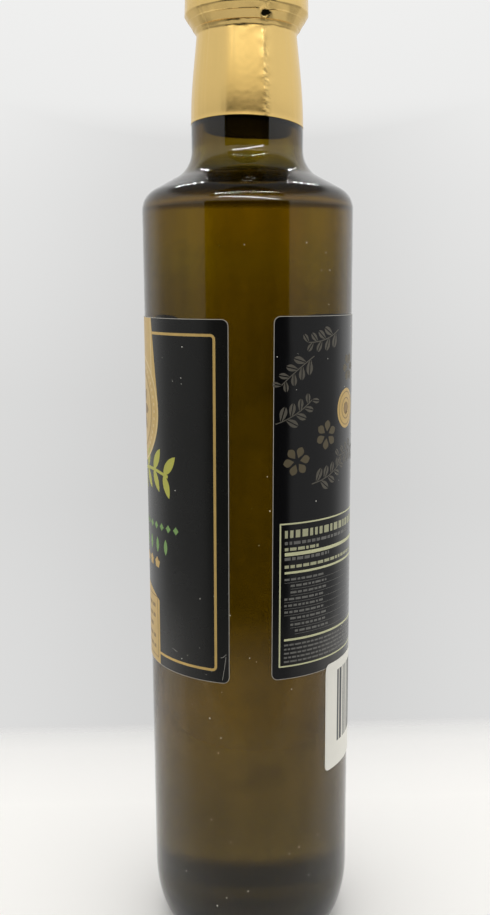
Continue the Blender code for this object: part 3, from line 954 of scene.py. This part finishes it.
def stroke(points, widths):
    """A line through points, with a width at each of them, as short four-sided pieces."""
    rails = []
    for i, (x, y) in enumerate(points):
        before, after = points[max(i - 1, 0)], points[min(i + 1, len(points) - 1)]
        along = math.hypot(after[0] - before[0], after[1] - before[1])
        normal = (-(after[1] - before[1]) / along, (after[0] - before[0]) / along)
        half = widths[i] / 2
        off_x, off_y = normal[0] * half, normal[1] * half
        rails.append(((x + off_x, y + off_y), (x - off_x, y - off_y)))
    return [[a[1], b[1], b[0], a[0]] for a, b in zip(rails, rails[1:])]


gold_ink = ink_material("gold_ink", (0.62, 0.42, 0.135), 0.38, 0.25, 0.12)
pale_gold_ink = ink_material("pale_gold_ink", (0.74, 0.56, 0.26), 0.38, 0.2, 0.10)
brown_ink = ink_material("brown_ink", (0.30, 0.19, 0.07), 0.45)
lime_ink = ink_material("lime_ink", (0.48, 0.47, 0.07), 0.42)
green_ink = ink_material("green_ink", (0.20, 0.36, 0.10), 0.42)


def from_middle(heights, middle):
    return [z - middle for z in heights]


def front_border():
    low, high = from_middle(BORDER_Z, FRONT_MIDDLE)
    return line_box(-BORDER_HALF, BORDER_HALF, low, high, BORDER_W, BORDER_CORNER)


def front_band():
    top = (FRONT_LABEL_Z[1] - FRONT_LABEL_Z[0]) / 2 - CUT_EDGE
    seal = (0.0, SEAL_Z - FRONT_MIDDLE)
    reach = math.acos(BAND_HALF / SEAL_R)
    start, end = math.pi - reach, math.tau + reach
    turn = [start + (end - start) * step / 60 for step in range(61)]
    round_end = [(seal[0] + SEAL_R * math.cos(a), seal[1] + SEAL_R * math.sin(a)) for a in turn]
    return [[(BAND_HALF, top), (-BAND_HALF, top)] + round_end], seal, top


def plate_top(across):
    low, high = PLATE_TOP
    return high - (high - low) * (across / PLATE_HALF) ** 2


def front_plate():
    low = FRONT_LABEL_Z[0] + CUT_EDGE
    steps = [PLATE_HALF * (1 - 2 * s / 24) for s in range(25)]
    return [[(-PLATE_HALF, low - FRONT_MIDDLE), (PLATE_HALF, low - FRONT_MIDDLE)]
            + [(across, plate_top(across) - FRONT_MIDDLE) for across in steps]]


def twig_point(x):
    return x * MM, TWIG_Z - FRONT_MIDDLE + TWIG_WAVE * math.sin(x / TWIG_BEND)


def front_sprig():
    """A level twig with paired leaves."""
    stem = [twig_point(x) for x in range(-20, 21)]
    shapes = stroke(stem, [0.9 * MM] * len(stem))
    for x in range(-18, 19, 6):
        lean = math.atan2(TWIG_WAVE / MM / TWIG_BEND * math.cos(x / TWIG_BEND), 1.0)
        for spread, length, width in TWIG_LEAVES:
            shapes.append(leaf(twig_point(x), lean + spread, length, width, 0.45))
    return shapes


def front_marks():
    """A row of small four-pointed stars over a row of upright leaflets."""
    sparks_z, leaflets_z = from_middle((SPARKS_Z, LEAFLETS_Z), FRONT_MIDDLE)
    shapes = [star((x * SPARK_SPACING, sparks_z), SPARK_R, 0.55, 4) for x in range(-7, 8)]
    shapes += [leaf((x * LEAFLET_SIZE[0], leaflets_z), math.pi / 2, *LEAFLET_SIZE) for x in range(-4, 5)]
    return shapes


def front_seal(seal):
    """The seal's rings and beads in one ink, and its flower and inner ring in another."""
    pale = ring(seal, SEAL_R - 0.45 * MM, 0.7 * MM) + ring(seal, SEAL_R - 6.0 * MM, 0.5 * MM)
    pale += [disc(place, 0.5 * MM, 10) for place in disc(seal, SEAL_R - 2.6 * MM, 40)]
    brown = [leaf(seal, math.tau * s / 8, 8.0 * MM, 3.0 * MM, 0.6) for s in range(8)]
    brown += ring(seal, SEAL_R - 4.6 * MM, 0.35 * MM)
    return pale, brown


def plate_print():
    """Five rows of dashes in a fine frame."""
    draw = random.Random(4)
    shapes = []
    for row in range(5):
        z = PLATE_ROWS[0] - row * PLATE_ROWS[1] - FRONT_MIDDLE
        at = -(PLATE_HALF - 3.4 * MM)
        while at < PLATE_HALF - 5.0 * MM:
            length = draw.uniform(1.8, 4.2) * MM
            shapes.append(bar(at, min(at + length, PLATE_HALF - 3.2 * MM), z - 0.55 * MM, z + 0.55 * MM))
            at += length + 0.9 * MM
    outer = PLATE_HALF - 1.2 * MM
    inner = outer - PLATE_RULE_W
    low, high = from_middle(PLATE_RULE_Z, FRONT_MIDDLE)
    shapes += rule_round(bar(-outer, outer, low, high),
                         bar(-inner, inner, low + PLATE_RULE_W, high - PLATE_RULE_W))
    return shapes


def print_on(place, prints):
    """Lays each print, as (name, shapes, level, ink), on a label. A higher level lies over a lower."""
    for name, shapes, level, ink in prints:
        made = stick_on(name, shapes, place, INK_LIFT + level * INK_STEP, INK_STEP)
        hand_over(made, ink)


def print_front():
    band, seal, top = front_band()
    border = [shape for shape in front_border()
              if not (all(abs(p[0]) < BAND_HALF for p in shape) and shape[0][1] > 0)]
    stars = [star((x * STAR_SPACING, STAR_Z - FRONT_MIDDLE), 1.75 * MM) for x in range(-3, 4)]
    join = seal[1] + math.sqrt(SEAL_R**2 - BAND_HALF**2)
    band_lines = []
    for edge in (0.5 * MM - BAND_HALF, BAND_HALF - 0.5 * MM):
        band_lines.append(bar(edge - 0.35 * MM, edge + 0.35 * MM, join, top))
    pale_seal, brown_seal = front_seal(seal)
    print_on(FRONT_PLACE, (
        ("front_gold_print", border + band + front_plate() + stars, 0, gold_ink),
        ("front_pale_gold_print", band_lines + pale_seal, 1, pale_gold_ink),
        ("front_brown_print", brown_seal + plate_print(), 1, brown_ink),
        ("front_lime_print", front_sprig(), 0, lime_ink),
        ("front_green_print", front_marks(), 0, green_ink),
    ))


def scuff_front():
    """Where the lower corner was rubbed, fine scratches show the paper."""
    scratches = (((38.9, -42.2), (38.5, -45.5), (37.9, -49.0)), ((37.4, -42.6), (38.2, -42.3), (39.0, -41.5)),
                 ((21.0, -43.0), (23.0, -43.5)))
    shapes = []
    for line in scratches:
        points = [(across * MM, up * MM) for across, up in line]
        shapes += stroke(points, [0.09 * MM] * len(points))
    print_on(FRONT_PLACE, [("front_scratches", shapes, 0, white_paper)])


print_front()
scuff_front()

# The back label's print: grey sprigs and blossoms over its upper half, a small gold seal, and a
# cream ruled panel below, whose rows are plain dashes.
BACK_MIDDLE = BACK_PLACE[1]
PANEL_LEFT = -37.7 * MM
PANEL_RIGHT = 1.2 * MM
PANEL_Z = (90.2 * MM, 130.6 * MM)
PANEL_INSET = 1.3 * MM
PANEL_RULES = ((122.1, 0.95), (116.9, 0.62), (97.8, 0.6))
BOLD_ROW_Z = 127.7 * MM
LIST_ROWS = (115.0 * MM, 1.85 * MM)
HAIR_DROP = 0.92 * MM
FOOT_ROWS = (96.3 * MM, 1.2 * MM)
COLUMN_ROWS = (128.5 * MM, 2.4 * MM)
COLUMN_GAPS = (5, 10)
COLUMN_INSET = 4 * MM
ROW_INDENTS = [indent * MM for indent in (0.0, 1.8, 1.8, 0.0, 0.0, 0.0, 1.8, 1.8, 3.2)]
BACK_SEAL = (-12.3 * MM, 160.4 * MM)
BACK_SEAL_R = 5.6 * MM
SEAL_CLEAR = 10.5 * MM
MOTIF_Z = 141.0 * MM
MOTIF_STEP = (11.0 * MM, 12.6 * MM)
MOTIF_TOP = 44 * MM
SPRIG_LENGTH = 12.4 * MM
SPRIG_BACK = 5.6 * MM
BLOSSOM_R = 3.7 * MM

grey_ink = ink_material("grey_brown_ink", (0.095, 0.085, 0.065), 0.42)
ochre_ink = ink_material("ochre_grey_ink", (0.105, 0.083, 0.042), 0.42)
cream_ink = ink_material("cream_ink", (0.62, 0.62, 0.37), 0.42)
soft_grey_ink = ink_material("soft_grey_ink", (0.145, 0.142, 0.13), 0.42)
dull_cream_ink = ink_material("dull_cream_ink", (0.42, 0.42, 0.26), 0.42)


def sprig(base, heading, size, bend):
    """A curved stalk with blunt leaves on alternate sides, each split along its midrib."""
    shapes, stalk, at, turn = [], [], base, heading
    for step in range(9):
        stalk.append(at)
        at = (at[0] + size / 8 * math.cos(turn), at[1] + size / 8 * math.sin(turn))
        turn += bend / 8
    shapes += stroke(stalk, [0.28 * MM] * len(stalk))
    for step in range(1, 9):
        side = 1 if step % 2 else -1
        angle = heading + bend * step / 8 + side * math.radians(52)
        length = size * (0.36 - 0.018 * step)
        for half in (-1, 1):
            off = half * 0.16 * MM
            place = (stalk[step][0] - off * math.sin(angle), stalk[step][1] + off * math.cos(angle))
            outline = leaf(place, angle, length, 0.42 * length, 0.6)
            middle = len(outline) // 2 + 1
            lower = outline[:middle]
            shapes.append(lower if half < 0 else [lower[-1]] + outline[middle:] + [lower[0]])
    return shapes


def blossom(centre, radius, turn):
    petals = []
    for step in range(6):
        angle = turn + math.tau * step / 6
        base = (centre[0] + 0.25 * radius * math.cos(angle), centre[1] + 0.25 * radius * math.sin(angle))
        petals.append(leaf(base, angle, 0.85 * radius, 0.62 * radius, 0.6))
    return petals


def back_motifs():
    """A half-drop repeat of sprigs and blossoms that keeps clear of the seal."""
    draw = random.Random(12)
    sprigs, blossoms = [], []
    seal = (BACK_SEAL[0], BACK_SEAL[1] - BACK_MIDDLE)
    for column in range(-3, 4):
        for row in range(4):
            across = column * MOTIF_STEP[0] + draw.uniform(-1, 1) * MM
            up = MOTIF_Z - BACK_MIDDLE + (row + 0.5 * (column % 2)) * MOTIF_STEP[1] + draw.uniform(-1, 1) * MM
            if up > MOTIF_TOP or math.hypot(across - seal[0], up - seal[1]) < SEAL_CLEAR:
                continue
            heading = draw.uniform(0.1, 0.9) + (math.pi if (row + column) % 2 else 0.0)
            start = (across - SPRIG_BACK * math.cos(heading), up - SPRIG_BACK * math.sin(heading))
            if (row + 2 * column) % 3:
                sprigs += sprig(start, heading, SPRIG_LENGTH, draw.uniform(-0.7, 0.7))
            else:
                blossoms += blossom((across, up), BLOSSOM_R, draw.uniform(0, 1))
    return sprigs, blossoms


def dashes(draw, left, right, z, height, longest, gap, fill=1.0):
    """A row of plain dashes of uneven lengths."""
    shapes = []
    end = left + (right - left) * fill
    while left < end:
        length = draw.uniform(0.35, 1.0) * longest
        shapes.append(bar(left, min(left + length, end), z - height / 2, z + height / 2))
        left += length + gap
    return shapes


def panel_print():
    draw = random.Random(31)
    low, high = from_middle(PANEL_Z, BACK_MIDDLE)
    bright = line_box(PANEL_LEFT, PANEL_RIGHT, low, high, 0.42 * MM)
    inner_left, inner_right = PANEL_LEFT + PANEL_INSET, PANEL_RIGHT - PANEL_INSET
    for z, width in PANEL_RULES:
        middle = z * MM - BACK_MIDDLE
        bright.append(bar(inner_left, inner_right, middle - width * MM / 2, middle + width * MM / 2))
    bold_z = BOLD_ROW_Z - BACK_MIDDLE
    dull = dashes(draw, inner_left, inner_right, bold_z, 2.1 * MM, 2.3 * MM, 0.7 * MM, 0.9)
    soft = []
    for z, share, ink in ((125.2, 0.75, soft), (123.5, 0.3, dull), (120.8, 0.42, soft), (118.6, 0.85, dull)):
        middle = z * MM - BACK_MIDDLE
        ink += dashes(draw, inner_left, inner_right, middle, 0.85 * MM, 2.2 * MM, 0.45 * MM, share)
    for row, indent in enumerate(ROW_INDENTS):
        middle = LIST_ROWS[0] - row * LIST_ROWS[1] - BACK_MIDDLE
        soft += dashes(draw, inner_left + indent, inner_right, middle, 0.6 * MM, 2.0 * MM, 0.4 * MM, 0.36)
        hair = middle - HAIR_DROP
        soft.append(bar(inner_left + indent, inner_right, hair - 0.05 * MM, hair + 0.05 * MM))
        soft += dashes(draw, inner_right - 3 * MM, inner_right, middle, 0.75 * MM, 1.6 * MM, 0.4 * MM)
    for row in range(5):
        middle = FOOT_ROWS[0] - row * FOOT_ROWS[1] - BACK_MIDDLE
        soft += dashes(draw, inner_left, inner_right, middle, 0.5 * MM, 2.2 * MM, 0.3 * MM)
    column_left, column_right = PANEL_RIGHT + COLUMN_INSET, LABEL_HALF_WIDTH - COLUMN_INSET
    for row in range(15):
        middle = COLUMN_ROWS[0] - row * COLUMN_ROWS[1] - BACK_MIDDLE
        if row in COLUMN_GAPS:
            continue
        share = draw.uniform(0.7, 1.0)
        soft += dashes(draw, column_left, column_right, middle, 0.8 * MM, 4.2 * MM, 0.6 * MM, share)
    return bright, dull, soft


def print_back():
    seal = (BACK_SEAL[0], BACK_SEAL[1] - BACK_MIDDLE)
    sprigs, blossoms = back_motifs()
    bright, dull, soft = panel_print()
    rings = ring(seal, BACK_SEAL_R - 1.0 * MM, 0.28 * MM) + ring(seal, BACK_SEAL_R - 2.7 * MM, 0.3 * MM)
    rings.append(star(seal, 1.8 * MM, 0.5, 8))
    print_on(BACK_PLACE, (
        ("back_grey_print", sprigs, 0, grey_ink),
        ("back_ochre_print", blossoms, 0, ochre_ink),
        ("back_cream_print", bright, 0, cream_ink),
        ("back_bold_dashes", dull, 0, dull_cream_ink),
        ("back_fine_dashes", soft, 0, soft_grey_ink),
        ("back_gold_seal", [disc(seal, BACK_SEAL_R)], 0, gold_ink),
        ("back_seal_rings", rings, 1, brown_ink),
    ))


print_back()

# The stock sticker is matt white paper with dark upright bars. It is stuck on the glass and laps
# over the back label's lower edge.
STICKER_WIDTH = 50.8 * MM
STICKER_Z = (55.1 * MM, 87.7 * MM)
STICKER_CORNER_R = 1.6 * MM
STICKER_EDGE_ANGLE = math.radians(44.0)
STICKER_PAPER = 0.14 * MM
BARS_Z = (62.6 * MM, 84.6 * MM)
BARS_START = 6.0 * MM
BARS_END = 44.0 * MM

sticker_middle = sum(STICKER_Z) / 2
sticker_place = (STICKER_EDGE_ANGLE + STICKER_WIDTH / 2 / BODY_R, sticker_middle, 0.0)
label_drop = math.sin(BACK_PLACE[2]) * LABEL_HALF_WIDTH
lap_end = BACK_LABEL_Z[0] - label_drop - 0.1 * MM
lap_start = lap_end - 0.6 * MM


def over_label_edge(height):
    share = min(max((height - lap_start) / (lap_end - lap_start), 0.0), 1.0)
    return BODY_R + GLUE + share * (PAPER + 2 * INK)


def make_sticker():
    half = STICKER_WIDTH / 2
    half_height = (STICKER_Z[1] - STICKER_Z[0]) / 2
    outline = rounded_box(-half, half, -half_height, half_height, STICKER_CORNER_R)
    cuts = [lap_start - sticker_middle, lap_end - sticker_middle]
    sheet = stick_on("sticker_sheet", [outline], sticker_place, 0.0, STICKER_PAPER, over_label_edge, cuts)
    paper = paper_material("sticker_white", (0.93, 0.91, 0.83), 0.5, 0.06)
    hand_over(sheet, paper, "stock_sticker")
    draw = random.Random(7)
    low, high = from_middle(BARS_Z, sticker_middle)
    bars, at = [], -half + BARS_START
    while at < -half + BARS_END:
        width = draw.choice((0.5, 0.5, 1.0, 1.5)) * MM
        bars.append(bar(at, at + width, low, high))
        at += width + draw.choice((0.5, 0.5, 1.0)) * MM
    printed = stick_on("sticker_bars", bars, sticker_place, STICKER_PAPER, INK_STEP, over_label_edge)
    hand_over(printed, ink_material("sticker_grey_ink", (0.085, 0.085, 0.09), 0.55))


make_sticker()

# Dust has settled on the glass and the labels: pale flakes and a few short fibres of paper, which
# cling there by static.
DUST_SEED = 21
DUST_COUNT = 150
DUST_SIZE = (0.05 * MM, 0.16 * MM)
DUST_HEIGHTS = (22 * MM, 212 * MM)
SEEN_SPECKS = ((-24.4, 44.3, 0.16), (-15.9, 20.6, 0.15), (-21.5, 17.6, 0.2), (19.6, 33.6, 0.14),
               (32, 25.0, 0.14), (20.6, 83.5, 0.13), (-24.6, 75.0, 0.2), (-18.3, 69.6, 0.17),
               (-19.9, 65.0, 0.15))


def dust_flake(work, angle, height, size, stretch, spin):
    """A tiny low pyramid on the bottle's skin, drawn out along its own direction."""
    out = Vector((math.cos(angle), math.sin(angle), 0.0))
    side = Vector((-math.sin(angle), math.cos(angle), 0.0))
    along = side * math.cos(spin) + Vector((0.0, 0.0, 1.0)) * math.sin(spin)
    across = along.cross(out)
    on_label = FRONT_LABEL_Z[0] < height < FRONT_LABEL_Z[1]
    base = out * (BODY_R + (PAPER + GLUE + 3 * INK if on_label else 0.0)) + Vector((0.0, 0.0, height))
    corners = []
    for step in range(5):
        turn = math.tau * step / 5
        place = base + along * size * stretch * math.cos(turn) + across * size * math.sin(turn)
        corners.append(work.verts.new(place))
    tip = work.verts.new(base + out * 0.5 * size)
    work.faces.new(corners[::-1])
    for first, second in zip(corners, corners[1:] + corners[:1]):
        work.faces.new((first, second, tip))


def scatter_dust():
    draw = random.Random(DUST_SEED)
    work = bmesh.new()
    for degrees, height, size in SEEN_SPECKS:
        dust_flake(work, math.radians(degrees), height * MM, size * MM, 1.4, draw.uniform(0.9, 2.2))
    for number in range(DUST_COUNT):
        stretch = 5.0 if number % 15 == 0 else draw.uniform(1.0, 2.0)
        size = draw.uniform(*DUST_SIZE) * (0.5 if stretch == 5.0 else 1.0)
        angle, height = draw.uniform(0, math.tau), draw.uniform(*DUST_HEIGHTS)
        dust_flake(work, angle, height, size, stretch, draw.uniform(0, 3.1))
    bmesh.ops.recalc_face_normals(work, faces=work.faces[:])
    mesh = bpy.data.meshes.new("dust")
    work.to_mesh(mesh)
    work.free()
    hand_over(add_object("dust", mesh), paper_material("pale_dust", (0.78, 0.76, 0.68), 0.8))


scatter_dust()
